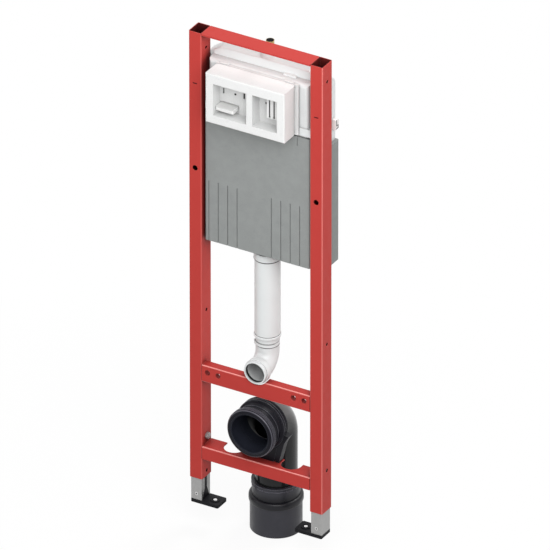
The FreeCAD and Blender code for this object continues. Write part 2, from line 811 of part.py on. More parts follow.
def flush_bend():
    """Bend from the flush pipe to the pan: a band round its front, a collar, and the mouth's seal."""
    radius, inside = size.bend_radius, bend_tube - size.bend_tube_wall
    centre_y, centre_z = size.flush_back - radius, flush_height + radius
    mouth = -size.flush_mouth - centre_y
    bore = disc(0, -radius, inside)
    piece = Piece("flush_bend", x=mid, y=centre_y, z=centre_z)
    band, band_low = bend_tube + size.band_raise, flush_low - size.band_drop - centre_z
    piece.pad("XY", band_low, size.band_height, disc(0, radius, band), disc(0, radius, inside))
    piece.pocket("XY", band_low, size.band_height,
                 rectangle(-radius, radius - size.band_chord, radius, 2 * radius))
    piece.pad("XY", 0, flush_low + size.bend_insert - centre_z,
              disc(0, radius, bend_tube), disc(0, radius, inside))
    piece.revolve("XY", "H_Axis", disc(0, radius, bend_tube), disc(0, radius, inside),
                  angle=90, backwards=True)
    piece.pad("XZ", mouth, size.collar_lip, disc(0, -radius, size.collar_radius), bore)
    piece.pad("XZ", mouth + size.collar_lip, -mouth - size.collar_lip,
              disc(0, -radius, size.chamber_radius), bore)
    seal_radius = size.flush_seal_bore + size.flush_seal_wall
    piece.pocket("XZ", mouth, size.flush_seal_recess + size.flush_seal_depth,
                 disc(0, -radius, seal_radius + size.fit))
    piece.pad("XZ", mouth, size.flush_seal_recess,
              disc(0, -radius, size.collar_radius), disc(0, -radius, size.flush_seal_bore + size.fit))
    piece.round_rims(size.collar_edge, size.collar_radius, "y", mouth)
    piece.round_rims(size.collar_edge, size.chamber_radius, "y", mouth + size.collar_lip, 0)
    seal = Piece("flush_seal", x=mid, y=-size.flush_mouth, z=flush_height)
    seal.pad("XZ", size.flush_seal_recess, size.flush_seal_depth,
             disc(0, 0, seal_radius), disc(0, 0, size.flush_seal_bore))


def drain_connector():
    """Turned socket for the pan's outlet: rounded rim, neck with a ridge, and a grooved ring behind."""
    front, back, bore = -size.mouth_front, size.ring_back, size.drain_radius + size.fit
    rim, neck, ring = size.mouth_radius, size.neck_radius, size.ring_radius
    ridge, groove = neck + size.neck_ridge, ring - size.ring_groove
    stop = size.drain_leg_back - size.drain_bend_radius - size.drain_insert
    edge = size.neck_ridge
    rim_back = front + size.mouth_rim
    ridge_at = (rim_back + size.ring_front) / 2
    outline = [(front, rim), (rim_back, rim), (rim_back + 2 * edge, neck),
               (ridge_at, neck), (ridge_at, ridge), (ridge_at + edge, ridge), (ridge_at + edge, neck),
               (size.ring_front - 2 * edge, neck), (size.ring_front, groove)]
    land = (back - size.ring_front) / 6
    for count in (1, 3, 5):
        start = size.ring_front + count * land - land / 2
        outline += [(start, groove), (start, ring), (start + land, ring), (start + land, groove)]
    step = size.drain_wall
    outline += [(back, groove), (back, bore), (stop, bore), (stop, bore - step), (stop - step, bore - step),
                (stop - 2 * step, bore), (front + size.mouth_edge, bore), (front, bore + size.mouth_edge)]
    piece = Piece("drain_connector", x=mid, z=drain_height)
    piece.revolve("YZ", "H_Axis", polygon(*outline))
    piece.round_rims(size.mouth_round, rim, "y", front)


def drain_bend():
    """Quarter bend from the connector down into the adapter."""
    radius, outside = size.drain_bend_radius, size.drain_radius
    centre_y, centre_z = size.drain_leg_back - radius, drain_height - radius
    inside = outside - size.drain_wall
    piece = Piece("drain_bend", x=mid, y=centre_y, z=centre_z)
    piece.revolve("XY", "H_Axis", disc(0, radius, outside), disc(0, radius, inside), angle=90)
    leg = centre_z - size.adapter_shoulder
    piece.pad("XY", -leg, leg, disc(0, radius, outside), disc(0, radius, inside))
    piece.pad("XZ", -size.drain_insert, size.drain_insert,
              disc(0, radius, outside), disc(0, radius, inside))


def drain_holder():
    """Saddle on the drain bar's tongue, hollowed to the connector's ring."""
    half = size.holder_width / 2
    top, spread = drain_height - size.ring_radius + size.holder_cover, size.holder_spread
    piece = Piece("drain_holder", x=mid)
    piece.pad("XZ", size.ring_front, size.holder_depth, polygon(
        (-half, drain_bar_top), (half, drain_bar_top), (half + spread, top), (-half - spread, top)))
    piece.pocket("XZ", size.ring_front, size.holder_depth, disc(0, drain_height, size.ring_radius + size.fit))


def drain_adapter():
    """Reducer from the bend's leg to the floor drain: ridged socket, rounded collar and spigot."""
    inner, outer = size.adapter_radius - size.adapter_wall, size.adapter_radius
    collar, low, top = size.adapter_collar_radius, size.adapter_collar_low, size.adapter_collar_top
    socket, rim = size.adapter_socket_radius, size.adapter_socket_top
    bore = size.drain_radius + size.fit
    lip = bore - size.drain_wall
    shoulder, under = size.adapter_shoulder, size.adapter_shoulder - size.adapter_lip
    ridge, thick = socket + size.adapter_ridge, size.adapter_ridge_height
    lower = rim - size.adapter_ridge_pitch
    piece = Piece("drain_adapter", x=mid, y=size.drain_leg_back)
    piece.revolve("XZ", "V_Axis", polygon(
        (inner, size.adapter_low), (outer, size.adapter_low), (outer, low), (collar, low), (collar, top),
        (socket, top), (socket, lower - thick), (ridge, lower - thick), (ridge, lower), (socket, lower),
        (socket, rim - thick), (ridge, rim - thick), (ridge, rim),
        (bore, rim), (bore, shoulder), (lip, shoulder), (lip, under), (inner, under - (inner - lip))))
    piece.round_rims(size.adapter_collar_round, collar, "z", top)
    piece.round_rims(size.adapter_collar_under, collar, "z", low)


for side_name, axis, inward in (("left", sized(0), 1), ("right", size.post_pitch, -1)):
    post(f"{side_name}_post", axis, inward)
    foot_channel(f"{side_name}_foot_channel", axis, inward)
    foot_sole(f"{side_name}_foot_sole", axis, inward)
    lock_screw(f"{side_name}_lock_screw", axis, inward)
    tank_clip(f"{side_name}_tank_clip", -inward)
top_bar()
pan_bar()
drain_bar()
cistern_jacket()
cistern_tank()
cistern_lid()
service_flange()
service_box()
push_lever()
valve_block()
inlet()
flush_line()
flush_bend()
drain_connector()
drain_bend()
drain_holder()
drain_adapter()
document.recompute()

for item in document.Objects:
    if "Invalid" in item.State or "Error" in item.State:
        raise ValueError(f"{item.Label} did not build: {item.State}")
os.makedirs("parts", exist_ok=True)
for body in pieces:
    if body.Shape.isNull() or not body.Shape.isValid() or len(body.Shape.Solids) != 1:
        raise ValueError(f"{body.Label} is not one sound solid")
    body.Shape.exportStep(f"parts/{body.Label}.step")
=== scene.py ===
import math

import bmesh
import bpy
from mathutils import Matrix, Vector


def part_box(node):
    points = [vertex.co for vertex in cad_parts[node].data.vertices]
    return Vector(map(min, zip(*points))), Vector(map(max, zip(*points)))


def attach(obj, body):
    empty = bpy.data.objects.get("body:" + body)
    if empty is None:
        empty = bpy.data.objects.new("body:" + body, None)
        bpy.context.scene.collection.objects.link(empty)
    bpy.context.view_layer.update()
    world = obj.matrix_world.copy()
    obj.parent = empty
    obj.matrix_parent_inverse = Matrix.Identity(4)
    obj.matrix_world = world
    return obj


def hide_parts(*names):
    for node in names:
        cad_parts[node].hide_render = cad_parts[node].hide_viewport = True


# Mounting frame for a wall hung toilet: finishes, small details, light and camera, +Z up. Finishes, light
# and camera are in metres, and the added pieces in millimetres.

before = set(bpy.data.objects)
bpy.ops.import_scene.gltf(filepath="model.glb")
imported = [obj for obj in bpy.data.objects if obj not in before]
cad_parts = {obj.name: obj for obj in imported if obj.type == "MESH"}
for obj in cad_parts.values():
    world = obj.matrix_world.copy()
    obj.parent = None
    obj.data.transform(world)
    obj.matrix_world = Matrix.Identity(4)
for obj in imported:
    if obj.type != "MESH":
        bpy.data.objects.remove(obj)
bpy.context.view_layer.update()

MM = 0.001


def span(node, axis):
    """Where a node of the frame starts and ends along X, Y or Z, in millimetres."""
    return [round(corner["XYZ".index(axis)] / MM, 3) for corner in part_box(node)]


def middle(node, axis):
    low, high = span(node, axis)
    return (low + high) / 2


def width(node, axis):
    low, high = span(node, axis)
    return high - low


# Places that several pieces take from the frame. Outward is the way along X from the middle to each side.
OUTWARD = {"left": -1, "right": 1}
POST_AXES = {side: middle(f"{side}_post", "X") for side in OUTWARD}
MID = middle("pan_bar", "X")
DRAIN_HEIGHT = middle("drain_connector", "Z")

# The photograph is a parallel view from the right front, so a very long lens stands far away. Lens and
# sensor are in millimetres, and the view's width and centre in metres.
CAMERA_AZIMUTH, CAMERA_ELEVATION = 30, 30
CAMERA_LENS = 1400
SENSOR = 36
VIEW_WIDTH = 1.1319
VIEW_CENTRE = Vector((0.1782, 0, 0.5871))

# Azimuth 0 is the front and 90 the right. Strengths are shares of full white, and the lamps stand so near
# that they light the top more than the feet.
LIGHT_CENTRE = Vector((MID * MM, 0, 1.1))
LAMPS = {
    "key": {"azimuth": 37, "elevation": 31, "strength": 1.09, "distance": 2.1, "size": 2.2},
    "fill": {"azimuth": -70, "elevation": 8, "strength": 0.14, "distance": 2.6, "size": 2.0},
    "top": {"azimuth": 169, "elevation": 38, "strength": 0.50, "distance": 2.6, "size": 1.3},
}
AMBIENT = 0.46

# The floor lies just below the adapter. Its paint is paler for the eye than for other light, and for the
# eye it also glows: by a share under the object, and pure white from the reach on.
FLOOR_CLEARANCE = 1
FLOOR_LEVEL = (span("drain_adapter", "Z")[0] - FLOOR_CLEARANCE) * MM
FLOOR_SIZE = 200
FLOOR_SEEN = 0.95
FLOOR_BOUNCE = 0.46
FLOOR_GLOW = 0.87
FLOOR_REACH = 1.0


def towards(azimuth, elevation):
    """The direction from the object to a place round it, from two angles in degrees."""
    azimuth, elevation = math.radians(azimuth), math.radians(elevation)
    flat = math.cos(elevation)
    return Vector((math.sin(azimuth) * flat, -math.cos(azimuth) * flat, math.sin(elevation)))


def shown(name, data):
    """A new object of the scene that holds this data."""
    item = bpy.data.objects.new(name, data)
    bpy.context.scene.collection.objects.link(item)
    return item


def camera():
    """A camera so far away that it sees the object as the photograph does."""
    data = bpy.data.cameras.new("camera")
    data.lens, data.sensor_width = CAMERA_LENS, SENSOR
    distance = VIEW_WIDTH * CAMERA_LENS / SENSOR
    data.clip_start, data.clip_end = MM, distance * 10
    item = shown("camera", data)
    back = towards(CAMERA_AZIMUTH, CAMERA_ELEVATION)
    item.location = VIEW_CENTRE + back * distance
    item.rotation_euler = (-back).to_track_quat("-Z", "Y").to_euler()
    bpy.context.scene.camera = item


def lamps():
    """Round area lamps that face the upper part of the object."""
    for name, lamp in LAMPS.items():
        data = bpy.data.lights.new(name, "AREA")
        data.shape, data.size = "DISK", lamp["size"]
        data.energy = lamp["strength"] * (math.pi * lamp["distance"]) ** 2
        item = shown(name, data)
        source = towards(lamp["azimuth"], lamp["elevation"])
        item.location = LIGHT_CENTRE + source * lamp["distance"]
        item.rotation_euler = source.to_track_quat("Z", "Y").to_euler()


class Tree:
    """The nodes of a material or of the world, with short ways to add them."""

    def __init__(self, owner):
        owner.use_nodes = True
        self.nodes, self.links = owner.node_tree.nodes, owner.node_tree.links

    def feed(self, socket, value):
        """Link an input to another node's output, or set it to a value."""
        if isinstance(value, bpy.types.NodeSocket):
            self.links.new(value, socket)
        else:
            socket.default_value = value

    def node(self, kind, inputs=(), **settings):
        """A new node with these settings. Inputs name a socket, or give its number, and what feeds it."""
        item = self.nodes.new("ShaderNode" + kind)
        for name, value in settings.items():
            setattr(item, name, value)
        for socket, value in dict(inputs).items():
            self.feed(item.inputs[socket], value)
        return item

    def math(self, operation, first, second=0):
        """The result of an operation on one number or pattern, or on two."""
        return self.node("Math", {0: first, 1: second}, operation=operation).outputs[0]

    def spread(self, source, low, high, start=0, end=1):
        """Map a number that runs from low to high onto start to end."""
        inputs = {"Value": source, "From Min": low, "From Max": high, "To Min": start, "To Max": end}
        return self.node("MapRange", inputs).outputs[0]

    def place(self):
        """The place on the object, in its own metres."""
        return self.node("TexCoord").outputs["Object"]

    def seen(self):
        """A number that is 1 where the eye, a reflection or glass looks, and 0 for other light."""
        path = self.node("LightPath").outputs
        eye = self.math("MAXIMUM", path["Is Camera Ray"], path["Is Glossy Ray"])
        return self.math("MAXIMUM", eye, path["Is Transmission Ray"])


def surroundings():
    """White for the eye and for reflections, and softer light for the rest."""
    world = bpy.data.worlds.new("studio")
    bpy.context.scene.world = world
    tree = Tree(world)
    background = tree.nodes["Background"]
    tree.feed(background.inputs["Color"], (1, 1, 1, 1))
    tree.feed(background.inputs["Strength"], tree.spread(tree.seen(), 0, 1, AMBIENT, 1))


def floor_finish():
    """Pale paint that takes a soft shadow near the object, and fades to pure white round it."""
    material = bpy.data.materials.new("floor")
    tree = Tree(material)
    tree.nodes.remove(tree.nodes["Principled BSDF"])
    seen = tree.seen()
    paint = tree.node("BsdfDiffuse", {"Color": tree.spread(seen, 0, 1, FLOOR_BOUNCE, FLOOR_SEEN)})
    distance = tree.node("VectorMath", {0: tree.place()}, operation="LENGTH").outputs["Value"]
    glow = tree.math("MULTIPLY", tree.spread(distance, 0, FLOOR_REACH, FLOOR_GLOW, 1), seen)
    white = tree.node("Emission")
    mixed = tree.node("MixShader", {0: glow, 1: paint.outputs[0], 2: white.outputs[0]})
    tree.feed(tree.nodes["Material Output"].inputs["Surface"], mixed.outputs[0])
    return material


def floor():
    """A wide flat floor, which belongs to the stage and not to the object."""
    half = FLOOR_SIZE / 2
    corners = [(-half, -half), (half, -half), (half, half), (-half, half)]
    mesh = bpy.data.meshes.new("floor")
    mesh.from_pydata([(x, y, FLOOR_LEVEL) for x, y in corners], [], [range(4)])
    mesh.materials.append(floor_finish())
    shown("floor", mesh)


class Finish(Tree):
    """A material of nodes, whose patterns are sized in metres."""

    def __init__(self, name, colour, metallic=0, specular=0.5):
        self.name = name
        self.material = bpy.data.materials.new(name)
        super().__init__(self.material)
        self.shader = self.nodes["Principled BSDF"]
        self.feed(self.shader.inputs["Metallic"], metallic)
        self.feed(self.shader.inputs["Specular IOR Level"], specular)
        self.spot = self.place()
        self.colour = (*colour, 1)

    def noise(self, size, detail=2, stretch=(1, 1, 1)):
        """Soft blotches of about this size, as a number from 0 to 1."""
        scaled = self.node("Mapping", {"Vector": self.spot, "Scale": [part / size for part in stretch]})
        inputs = {"Vector": scaled.outputs[0], "Scale": 1, "Detail": detail}
        return self.node("TexNoise", inputs).outputs["Fac"]

    def wander(self, start, end, size, detail=2, stretch=(1, 1, 1), swing=0.2):
        """A number that wanders softly between start and end, with more contrast for a smaller swing."""
        return self.spread(self.noise(size, detail, stretch), 0.5 - swing, 0.5 + swing, start, end)

    def shades(self, colour, size, share=1, detail=2):
        """Let the colour wander up to this share of another one."""
        self.tint(self.wander(0, share, size, detail, swing=0.15), colour)

    def cells(self, size, feature="F1", output="Distance"):
        """Cells of about this size, such as beads or spangles."""
        inputs = {"Vector": self.spot, "Scale": 1 / size}
        return self.node("TexVoronoi", inputs, feature=feature).outputs[output]

    def tint(self, share, colour):
        """Blend the colour so far towards another one, by a number or a pattern."""
        mixed = self.node("Mix", {"Factor": share, "A": self.colour, "B": (*colour, 1)}, data_type="RGBA")
        self.colour = mixed.outputs["Result"]

    def normal(self):
        return self.node("NewGeometry").outputs["Normal"]

    def parts(self, vector):
        """The three numbers of a vector."""
        return self.node("SeparateXYZ", {0: vector}).outputs

    def sizes(self, vector):
        """The three numbers of a vector, without their signs."""
        return [self.math("ABSOLUTE", part) for part in self.parts(vector)]

    def bevel(self, radius):
        """The direction of a surface whose edges are rounded by this radius."""
        return self.node("Bevel", {"Radius": radius}, samples=4).outputs[0]

    def edges(self, bevel, strength, share):
        """A pattern that is this share along the edges that a bevel rounds, and 0 on flat faces."""
        dot = self.node("VectorMath", {0: bevel, 1: self.normal()}, operation="DOT_PRODUCT")
        return self.spread(dot.outputs["Value"], 1, 1 - 1 / strength, 0, share)

    def corners(self):
        """A pattern that is 1 in the middle of a rounded corner and 0 on flat faces."""
        across, deep, up = self.sizes(self.normal())
        both = self.math("MAXIMUM", self.math("MULTIPLY", across, deep), self.math("MULTIPLY", deep, up))
        return self.spread(both, low=0.15, high=0.5)

    def painted_crevice_shade(self, reach, colour, low, high, share):
        """Paint shade where other surfaces crowd within this reach: by the share where only a part of the
        light up to low comes in, and not at all from high on."""
        light = self.node("AmbientOcclusion", {"Distance": reach}, samples=8).outputs["AO"]
        self.tint(self.spread(light, low, high, share, 0), colour)

    def painted_top_shading(self, colour, share):
        """Blend what faces upward towards a colour: a painted highlight where it is lighter, painted shade
        where darker.
        """
        up = self.parts(self.normal())["Z"]
        self.tint(self.spread(up, low=0.05, high=0.45, end=share), colour)

    def rough(self, roughness):
        """Set the roughness to a number or a pattern."""
        self.feed(self.shader.inputs["Roughness"], roughness)

    def relief(self, bevel, height, depth):
        """Round the edges for the light by a bevel, and raise the surface by a pattern."""
        bump = self.node("Bump", {"Height": height, "Distance": depth, "Normal": bevel})
        self.feed(self.shader.inputs["Normal"], bump.outputs[0])

    def done(self):
        """The material with its final colour."""
        self.feed(self.shader.inputs["Base Color"], self.colour)
        return self.material


# Colour of the painted shade in narrow gaps
PAINTED_GAP_SHADE = (0.02, 0.02, 0.02)


def red_coat(name, shine=0.5, axis=None, hollow_shade=0.9, reach=0.025, painted_top_shading=0):
    """Satin powder coat: fine orange peel, a little uneven, with painted highlights along edges and
    corners.
    Shine is how bright the painted corner highlights are, and the hollow share how dark the painted shade
    is within reach of other surfaces. A post, whose axis along X is given, gets painted shade on its inner
    walls."""
    finish = Finish(name, (0.575, 0.060, 0.051), specular=0.08)
    finish.shades((0.54, 0.052, 0.045), size=0.06, share=0.25)
    # Painted shade on what faces upward, by the share for the tops
    finish.painted_top_shading((0.36, 0.030, 0.026), painted_top_shading)
    bevel = finish.bevel(0.0008)
    # Painted highlights: lighter along sharp edges, and along rounded corners by the shine
    finish.tint(finish.edges(bevel, strength=6, share=0.30), (0.85, 0.24, 0.21))
    finish.tint(finish.math("MULTIPLY", finish.corners(), shine), (0.95, 0.36, 0.33))
    # Painted shade within reach of other surfaces
    finish.painted_crevice_shade(reach, (0.06, 0.006, 0.006), low=0.42, high=0.92, share=hollow_shade)
    if axis is not None:
        # Painted shade on the inner walls of a post
        finish.tint(finish.math("MULTIPLY", inside_post(finish, axis), 0.85), (0.05, 0.008, 0.008))
    finish.rough(finish.wander(0.34, 0.46, size=0.015, detail=3))
    finish.relief(bevel, finish.noise(size=0.0014, detail=1), depth=0.00004)
    return finish


def inside_post(finish, axis):
    """A pattern that is 1 on the inner walls of a post with this axis, and 0 on its outer faces."""
    under_face = 1.1
    half_width, half_depth = ((width("left_post", way) / 2 - under_face) * MM for way in "XY")
    from_axis = finish.node("VectorMath", {0: finish.spot, 1: (-axis * MM, 0, 0)}).outputs[0]
    across, deep, _ = finish.sizes(from_axis)
    return finish.math("MULTIPLY", finish.math("LESS_THAN", across, half_width),
                       finish.math("LESS_THAN", deep, half_depth))


def zinc():
    """Galvanised sheet with faint spangles and rolling lines, and a painted highlight along its edges."""
    finish = Finish("galvanised_steel", (0.36, 0.36, 0.355), metallic=0.75)
    spangles = finish.cells(0.004, output="Color")
    finish.tint(finish.spread(spangles, 0, 1, end=0.35), (0.46, 0.46, 0.455))
    bevel = finish.bevel(0.0005)
    # Painted highlight along the edges
    finish.tint(finish.edges(bevel, strength=5, share=0.5), (0.80, 0.80, 0.79))
    finish.rough(finish.wander(0.34, 0.52, size=0.003, stretch=(4, 4, 0.3)))
    finish.relief(bevel, finish.noise(size=0.0008, stretch=(3, 3, 0.2)), depth=0.00002)
    return finish


def brass():
    """Turned brass with fine grooves round its axis."""
    finish = Finish("turned_brass", (0.62, 0.45, 0.20), metallic=1)
    finish.shades((0.42, 0.30, 0.14), size=0.004, share=0.6, detail=3)
    finish.rough(0.3)
    grooves = finish.noise(size=0.0006, detail=1, stretch=(0.2, 0.2, 3))
    finish.relief(finish.bevel(0.0003), grooves, depth=0.00003)
    return finish


def plastic(name, colour, other, roughness, specular=0.5, gap_shade=0.45, hollow_shade=None, edge_highlight=None):
    """Moulded plastic: two close shades, a fine grain, and painted shade in gaps by a share. Pale plastic
    also has grey painted shade in hollows, by the share given for them, and some has a painted highlight on
    edges."""
    finish = Finish(name, colour, specular=specular)
    finish.shades(other, size=0.05)
    finish.rough(finish.wander(roughness - 0.05, roughness + 0.06, size=0.012, detail=3))
    # Painted shade in gaps, grey on pale plastic, and in wide hollows on pale plastic too
    shadow = (0.35, 0.35, 0.35) if hollow_shade else (0, 0, 0)
    finish.painted_crevice_shade(0.010, shadow, low=0.25, high=0.75, share=gap_shade)
    finish.painted_crevice_shade(0.010, PAINTED_GAP_SHADE, low=0.05, high=0.4, share=gap_shade * 2)
    if hollow_shade:
        finish.painted_crevice_shade(0.050, (0.30, 0.30, 0.30), low=0.2, high=0.9, share=hollow_shade)
    # Painted highlight along the edges
    if edge_highlight:
        finish.tint(finish.edges(finish.bevel(0.0012), strength=5, share=0.8), edge_highlight)
    finish.relief(finish.bevel(0.0006), finish.noise(size=0.0009), depth=0.00002)
    return finish


def foam(name, colour, other, bead, gap_shade):
    """Moulded foam of beads of this size, pressed together with small gaps, and painted shade in hollows
    and gaps.
    """
    finish = Finish(name, colour, specular=0.25)
    finish.shades(other, size=bead * 6, detail=3)
    seams = finish.cells(bead, "DISTANCE_TO_EDGE")
    finish.tint(finish.spread(seams, 0, 0.06, start=0.25, end=0), [part * 0.6 for part in other])
    # Painted shade in wide hollows and narrow gaps
    finish.painted_crevice_shade(0.050, [part * 0.5 for part in other], low=0.25, high=0.95, share=0.65)
    finish.painted_crevice_shade(0.010, PAINTED_GAP_SHADE, low=0.05, high=0.4, share=gap_shade)
    finish.rough(0.8)
    finish.relief(finish.bevel(0.0012), finish.spread(seams, 0, 0.25), depth=0.00012)
    return finish


def drain_plastic():
    """Glossy dark plastic of the drain bend, with a painted highlight on what faces upward."""
    finish = plastic("dark_plastic", (0.012, 0.013, 0.014), (0.018, 0.019, 0.020), 0.12, specular=0.22)
    finish.painted_top_shading((0.18, 0.18, 0.18), 0.85)
    return finish


def lever_plastic():
    """Pale plastic of the push lever, with painted shade on what faces upward."""
    finish = plastic("lever_plastic", (0.85, 0.85, 0.84), (0.83, 0.83, 0.82), 0.35, gap_shade=0.05)
    finish.painted_top_shading((0.62, 0.62, 0.61), 0.85)
    return finish


def adapter_plastic():
    """Dark plastic of the adapter: darker on its collar, which fades out above it, and a painted highlight
    along the ridges at its top."""
    dark_from, fade_from, fade_to, ridges_from = 0.011, 0.033, 0.046, 0.050
    finish = plastic("charcoal_plastic", (0.030, 0.030, 0.039), (0.038, 0.038, 0.048), 0.36, specular=0.3)
    height = finish.parts(finish.spot)["Z"]
    dark = finish.math("MULTIPLY", finish.math("GREATER_THAN", height, dark_from),
                       finish.spread(height, fade_from, fade_to, 1, 0))
    finish.tint(dark, (0.004, 0.004, 0.007))
    # Painted highlight along the ridges of the socket
    ridges = finish.math("MULTIPLY", finish.math("GREATER_THAN", height, ridges_from),
                         finish.edges(finish.bevel(0.0010), strength=5, share=0.9))
    finish.tint(ridges, (0.30, 0.30, 0.36))
    return finish


PLASTICS = {
    "black_plastic": {"colour": (0.005, 0.005, 0.007), "other": (0.008, 0.008, 0.010),
                      "roughness": 0.5, "specular": 0.13},
    # The lighter edge colours of the socket and holder plastic are painted highlights
    "socket_plastic": {"colour": (0.007, 0.007, 0.011), "other": (0.011, 0.011, 0.016),
                       "roughness": 0.38, "specular": 0.10, "edge_highlight": (0.09, 0.09, 0.105)},
    "holder_plastic": {"colour": (0.006, 0.006, 0.009), "other": (0.009, 0.009, 0.013),
                       "roughness": 0.4, "specular": 0.15, "edge_highlight": (0.10, 0.10, 0.115)},
    # Lighter plastic for pieces that paint highlights on the drain connector
    "painted_highlight_plastic": {"colour": (0.085, 0.085, 0.105), "other": (0.11, 0.11, 0.135),
                      "roughness": 0.3, "specular": 0.3},
    "cap_plastic": {"colour": (0.006, 0.006, 0.007), "other": (0.009, 0.009, 0.010),
                    "roughness": 0.6, "specular": 0.05},
    "mark_paint": {"colour": (0.045, 0.006, 0.008), "other": (0.06, 0.007, 0.009),
                   "roughness": 0.5, "specular": 0.1},
    "rubber": {"colour": (0.012, 0.012, 0.012), "other": (0.018, 0.018, 0.018),
               "roughness": 0.6, "specular": 0.3},
    "lip_rubber": {"colour": (0.014, 0.016, 0.024), "other": (0.018, 0.020, 0.030),
                   "roughness": 0.5, "specular": 0.15},
    # Dark grey for pieces that paint shadow lines on the flush line and the tank clips
    "painted_shadow_line": {"colour": (0.10, 0.10, 0.10), "other": (0.14, 0.14, 0.14),
                     "roughness": 0.6, "specular": 0.2},
    "rivet_steel": {"colour": (0.75, 0.75, 0.74), "other": (0.70, 0.70, 0.69), "roughness": 0.3},
    "white_plastic": {"colour": (0.92, 0.92, 0.915), "other": (0.90, 0.90, 0.895),
                      "roughness": 0.35, "hollow_shade": 0.75},
    "pipe_plastic": {"colour": (0.86, 0.89, 0.89), "other": (0.84, 0.87, 0.87),
                     "roughness": 0.35, "hollow_shade": 0.9},
    "shell_plastic": {"colour": (0.885, 0.92, 0.92), "other": (0.87, 0.905, 0.905),
                      "roughness": 0.4, "hollow_shade": 0.75},
    "lid_plastic": {"colour": (0.86, 0.90, 0.90), "other": (0.845, 0.885, 0.885),
                    "roughness": 0.4, "gap_shade": 0.12},
    # The clips' warm tint is a painted reflection of the red posts beside them
    "clip_plastic": {"colour": (0.92, 0.88, 0.86), "other": (0.90, 0.86, 0.84), "roughness": 0.4},
}

NODE_FINISHES = {
    "red_powder_coat": ["top_bar"],
    "bar_powder_coat": ["pan_bar", "drain_bar"],
    "left_post_coat": ["left_post"],
    "right_post_coat": ["right_post"],
    "galvanised_steel": ["left_foot_channel", "right_foot_channel", "left_lock_screw", "right_lock_screw"],
    "black_plastic": ["left_foot_sole", "right_foot_sole"],
    "grey_foam": ["cistern_jacket"],
    "shell_plastic": ["cistern_tank"],
    "lid_plastic": ["cistern_lid"],
    "clip_plastic": ["left_tank_clip", "right_tank_clip"],
    "white_foam": ["service_flange", "service_box"],
    "lever_plastic": ["push_lever"],
    "white_plastic": ["valve_block"],
    "turned_brass": ["inlet_nut", "inlet_stub"],
    "cap_plastic": ["inlet_cap"],
    "pipe_plastic": ["outlet_socket", "flush_pipe", "flush_bend"],
    "rubber": ["outlet_seal", "flush_seal"],
    "socket_plastic": ["drain_connector"],
    "dark_plastic": ["drain_bend"],
    "holder_plastic": ["drain_holder"],
    "charcoal_plastic": ["drain_adapter"],
}


def finishes():
    """Every finish of the scene, by its name."""
    made = [
        red_coat("red_powder_coat"),
        red_coat("bar_powder_coat", shine=1, hollow_shade=0.6, painted_top_shading=0.5),
        red_coat("left_post_coat", shine=0.2, axis=POST_AXES["left"], reach=0.040),
        red_coat("right_post_coat", axis=POST_AXES["right"]),
        zinc(),
        brass(),
        drain_plastic(),
        lever_plastic(),
        adapter_plastic(),
        foam("white_foam", (0.900, 0.905, 0.900), (0.890, 0.895, 0.890), bead=0.0035, gap_shade=0.1),
        foam("grey_foam", (0.335, 0.35, 0.345), (0.315, 0.33, 0.325), bead=0.0032, gap_shade=0.9),
        *(plastic(name, **look) for name, look in PLASTICS.items()),
    ]
    return {finish.name: finish.done() for finish in made}


def paint():
    """Give every node of the frame its finish."""
    for name, nodes in NODE_FINISHES.items():
        for node in nodes:
            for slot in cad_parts[node].material_slots:
                slot.material = materials[name]


MERGE_DISTANCE = 0.01 * MM
SHARP_ANGLE = 40


def add(name, form, finish, body):
    """Turn a form into a piece that rides on a body of the frame."""
    mesh = bpy.data.meshes.new(name)
    form.to_mesh(mesh)
    form.free()
    mesh.materials.append(materials[finish])
    item = shown(name, mesh)
    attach(item, body)
    return item


def block(name, low, high, finish, edge=0):
    """Box between two corners, with its edges rounded by this much, on the frame's own body."""
    form = bmesh.new()
    size = [b - a for a, b in zip(low, high)]
    centre = [(a + b) / 2 for a, b in zip(low, high)]
    bmesh.ops.create_cube(form, size=1, matrix=Matrix.Translation(centre) @ Matrix.Diagonal((*size, 1)))
    if edge:
        bmesh.ops.bevel(form, geom=form.edges[:], offset=edge, segments=3, affect="EDGES", profile=0.5)
    bmesh.ops.scale(form, vec=(MM, MM, MM), verts=form.verts)
    return add(name, form, finish, "frame")


def corner(form, place):
    """A new corner of a form at this place in millimetres."""
    return form.verts.new([part * MM for part in place])


def loft(form, rings):
    """Faces between each ring of corners and the next one."""
    for ring, other in zip(rings, rings[1:]):
        for a, b, c, d in zip(ring, other, other[1:] + other[:1], ring[1:] + ring[:1]):
            form.faces.new((a, b, c, d))


def turned(name, centre, axis, profile, finish, body="frame", count=96):
    """Solid turned about a line along X, Y or Z through the centre. The profile is a closed loop of pairs:
    a radius, and a distance from the centre along the line."""
    along = "XYZ".index(axis)
    first, second = (index for index in range(3) if index != along)
    form = bmesh.new()
    rings = []
    for step in range(count):
        turn = 2 * math.pi * step / count
        ring = []
        for radius, distance in profile:
            place = list(centre)
            place[first] += radius * math.cos(turn)
            place[second] += radius * math.sin(turn)
            place[along] += distance
            ring.append(corner(form, place))
        rings.append(ring)
    loft(form, rings + rings[:1])
    bmesh.ops.remove_doubles(form, verts=form.verts, dist=MERGE_DISTANCE)
    bmesh.ops.recalc_face_normals(form, faces=form.faces)
    for face in form.faces:
        face.smooth = True
    item = add(name, form, finish, body)
    item.data.set_sharp_from_angle(angle=math.radians(SHARP_ANGLE))
    return item


def band(inner, outer, start, end):
    """The profile of a ring with a rectangular section."""
    return [(inner, start), (outer, start), (outer, end), (inner, end)]


def extruded(name, outline, start, end, finish):
    """Solid with an outline of pairs of X and Z, which runs along Y from start to end."""
    form = bmesh.new()
    ends = [[corner(form, (x, y, z)) for x, z in outline] for y in (start, end)]
    for corners in ends:
        form.faces.new(corners)
    loft(form, ends)
    bmesh.ops.recalc_face_normals(form, faces=form.faces)
    return add(name, form, finish, "frame")


